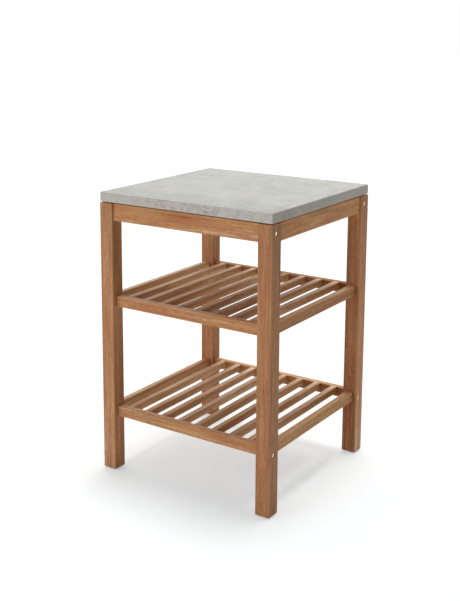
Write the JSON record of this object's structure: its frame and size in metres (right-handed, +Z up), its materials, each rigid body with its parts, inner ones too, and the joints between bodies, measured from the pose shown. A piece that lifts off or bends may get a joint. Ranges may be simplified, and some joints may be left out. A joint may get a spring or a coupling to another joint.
{
  "type": "outdoor kitchen module",
  "caption": "Free-standing outdoor kitchen module: a thick stone-look worktop on a square-legged teak frame with slatted shelves, bolted together at the legs.",
  "frame": {"origin": "on the floor, under the middle of the stand", "axes": "+Z up through the worktop, +X to the right-hand side, -Y to the front, slats along Y"},
  "size_m": [0.62, 0.6, 0.904],
  "materials": {
    "worktop_stone": "honed, mottled pale grey",
    "teak_leg": "oiled teak, straight grain along the post",
    "teak_rail": "oiled teak, grain along the rail",
    "teak_slat": "oiled teak, grain along the slat",
    "bolt_steel": "satin stainless",
    "nut_steel": "satin stainless",
    "dowel_beech": "plain beech",
    "pad_rubber": "matte black",
    "glide_plastic": "matte black"
  },
  "bodies": {
    "root": {"worktop": "worktop_stone", "worktop_pads": "pad_rubber", "leg_front_left": "teak_leg", "leg_front_right": "teak_leg", "leg_back_right": "teak_leg", "leg_back_left": "teak_leg", "apron_front": "teak_rail", "apron_back": "teak_rail", "apron_left": "teak_rail", "apron_right": "teak_rail", "upper_rail_front": "teak_rail", "upper_rail_back": "teak_rail", "upper_rail_left": "teak_rail", "upper_rail_right": "teak_rail", "lower_rail_front": "teak_rail", "lower_rail_back": "teak_rail", "lower_rail_left": "teak_rail", "lower_rail_right": "teak_rail", "upper_slat_1": "teak_slat", "upper_slat_2": "teak_slat", "upper_slat_3": "teak_slat", "upper_slat_4": "teak_slat", "upper_slat_5": "teak_slat", "upper_slat_6": "teak_slat", "upper_slat_7": "teak_slat", "upper_slat_8": "teak_slat", "lower_slat_1": "teak_slat", "lower_slat_2": "teak_slat", "lower_slat_3": "teak_slat", "lower_slat_4": "teak_slat", "lower_slat_5": "teak_slat", "lower_slat_6": "teak_slat", "lower_slat_7": "teak_slat", "lower_slat_8": "teak_slat", "apron_bolts": "bolt_steel", "lower_rail_bolts": "bolt_steel", "apron_barrel_nuts": "nut_steel", "lower_rail_barrel_nuts": "nut_steel", "apron_dowels": "dowel_beech", "upper_rail_dowels": "dowel_beech", "lower_rail_dowels": "dowel_beech", "foot_glides": "glide_plastic"}
  },
  "joints": []
}
